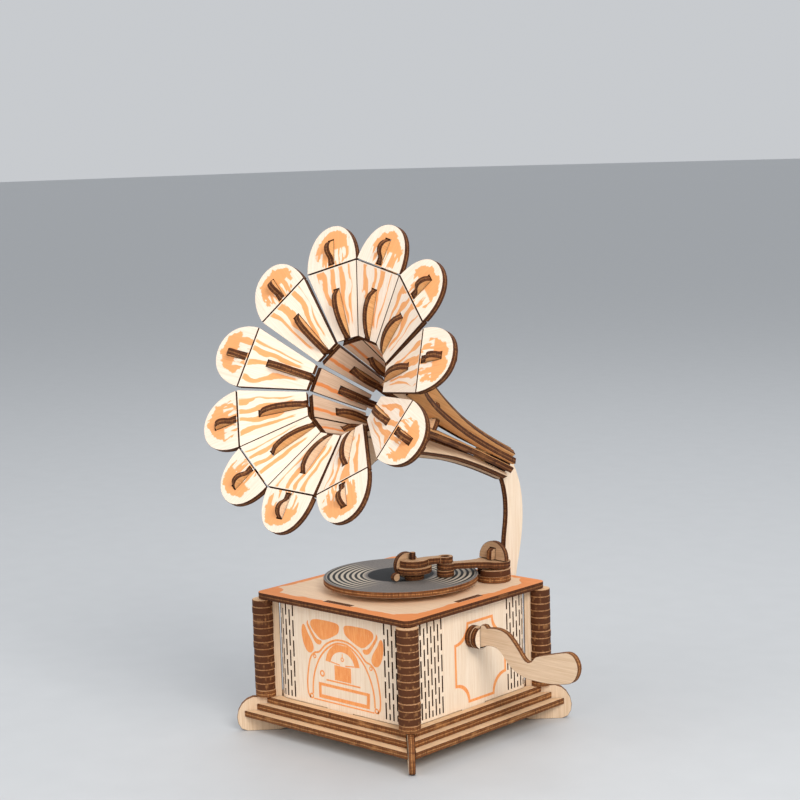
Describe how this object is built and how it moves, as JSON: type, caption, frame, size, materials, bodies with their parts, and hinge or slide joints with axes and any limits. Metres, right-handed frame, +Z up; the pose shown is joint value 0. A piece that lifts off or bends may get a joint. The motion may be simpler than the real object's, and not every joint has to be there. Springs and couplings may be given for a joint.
{
  "type": "wooden gramophone puzzle",
  "caption": "Laser-cut plywood gramophone model with flower-shaped horn, record, swinging tonearm, side crank and disc-stack corner columns.",
  "frame": {"origin": "middle of the whole footprint box, on the surface its feet stand on; the square case is centred 22.2 mm to -X and 20.8 mm to +Y of it", "axes": "+Z up, -Y towards the printed front and the horn's mouth, +X towards the crank"},
  "size_m": [0.1511, 0.149, 0.2222],
  "materials": {
    "pale_birch": "laser-cut raw plywood, pale face and brown edge",
    "toasted_birch": "plywood lit mostly on its edge, light brown",
    "burnt_birch": "laser-burnt plywood edge, dark brown",
    "record_print": "plywood with a printed black and grey groove pattern"
  },
  "bodies": {
    "case": {"base_plate_bottom": "pale_birch", "base_plate_middle": "pale_birch", "base_plate_upper": "pale_birch", "corner_rib_back_right": "pale_birch", "corner_rib_back_left": "pale_birch", "corner_rib_front_left": "pale_birch", "corner_rib_front_right": "pale_birch", "column_back_right": "burnt_birch", "column_back_left": "burnt_birch", "column_front_left": "burnt_birch", "column_front_right": "burnt_birch", "wall_wrap": "pale_birch", "top_plate": "pale_birch", "tonearm_tower": "burnt_birch", "throat_funnel": "pale_birch", "neck_ring": "burnt_birch", "neck_core": "burnt_birch", "horn_arm": "pale_birch", "fin_01": "toasted_birch", "fin_02": "toasted_birch", "fin_03": "toasted_birch", "fin_04": "toasted_birch", "fin_05": "toasted_birch", "fin_06": "toasted_birch", "fin_07": "toasted_birch", "fin_08": "toasted_birch", "fin_09": "toasted_birch", "fin_10": "toasted_birch", "fin_11": "toasted_birch", "petal_01": "pale_birch", "petal_02": "pale_birch", "petal_03": "pale_birch", "petal_04": "pale_birch", "petal_05": "pale_birch", "petal_06": "pale_birch", "petal_07": "pale_birch", "petal_08": "pale_birch", "petal_09": "pale_birch", "petal_10": "pale_birch", "petal_11": "pale_birch"},
    "turntable": {"record": "record_print", "record_hub": "burnt_birch", "record_spindle": "burnt_birch"},
    "tonearm": {"tonearm_pivot": "burnt_birch", "tonearm_bar": "pale_birch", "tonearm_moon": "pale_birch", "tonearm_moon_rib": "pale_birch", "link_disc": "burnt_birch", "soundbox_disc_small": "burnt_birch", "soundbox_disc_wide": "burnt_birch", "soundbox_bridge": "pale_birch", "soundbox_diaphragm": "pale_birch", "stylus": "pale_birch"},
    "crank": {"crank_retainer": "burnt_birch", "crank_boss_inner": "burnt_birch", "crank_boss_outer": "pale_birch", "crank_shaft": "burnt_birch", "crank_plate": "pale_birch"}
  },
  "joints": [
    {"name": "crank_turn", "type": "hinge", "parent": "case", "child": "crank", "pos_m": [0.0184, 0.0208, 0.046], "axis": [1, 0, 0], "continuous": true},
    {"name": "record_spin", "type": "hinge", "parent": "case", "child": "turntable", "pos_m": [-0.0222, 0.0208, 0.0648], "axis": [0, 0, 1], "continuous": true},
    {"name": "tonearm_swing", "type": "hinge", "parent": "case", "child": "tonearm", "pos_m": [0.0038, 0.0533, 0.0708], "axis": [0, 0, 1], "range_deg": [-12, 45]}
  ]
}
